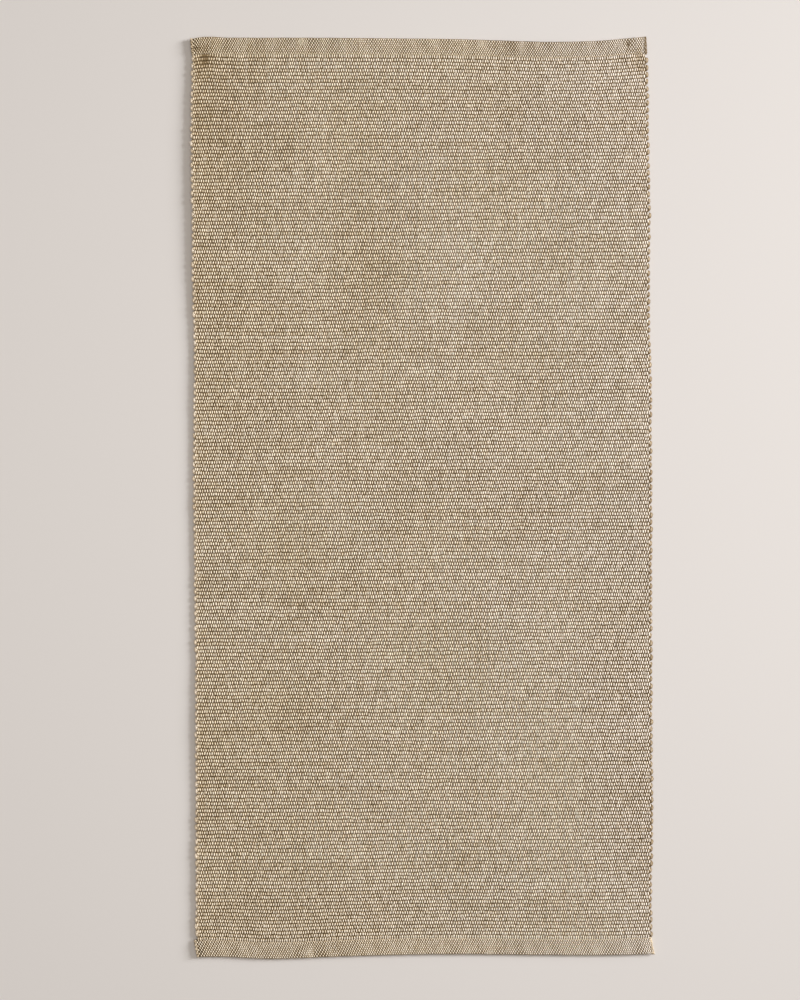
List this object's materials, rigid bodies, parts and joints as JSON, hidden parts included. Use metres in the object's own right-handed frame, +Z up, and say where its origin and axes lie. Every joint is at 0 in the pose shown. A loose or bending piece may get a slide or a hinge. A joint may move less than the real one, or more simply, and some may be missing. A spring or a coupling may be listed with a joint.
{
  "type": "table runner",
  "caption": "Thick plain-woven table runner lying flat, with corded selvedges and a fine heading folded under and stitched at each end.",
  "frame": {"origin": "middle of the underside, on the surface that the runner lies on", "axes": "+Y along the runner's length towards its head end, +X across its width, +Z up out of the face"},
  "size_m": [0.45, 0.9, 0.0034],
  "materials": {
    "woven_cloth": "matt, natural beige and cream mottled yarn in a thick plain weave",
    "selvedge_cord": "matt, cream weft turns over paired edge ends",
    "hem_heading": "matt, fine plain weave of the same yarn",
    "sewing_thread": "matt beige sewing thread"
  },
  "bodies": {
    "root": {"woven_body": "woven_cloth", "left_selvedge": "selvedge_cord", "right_selvedge": "selvedge_cord", "head_hem": "hem_heading", "foot_hem": "hem_heading", "head_needle_thread": "sewing_thread", "head_bobbin_thread": "sewing_thread", "foot_needle_thread": "sewing_thread", "foot_bobbin_thread": "sewing_thread"}
  },
  "joints": []
}
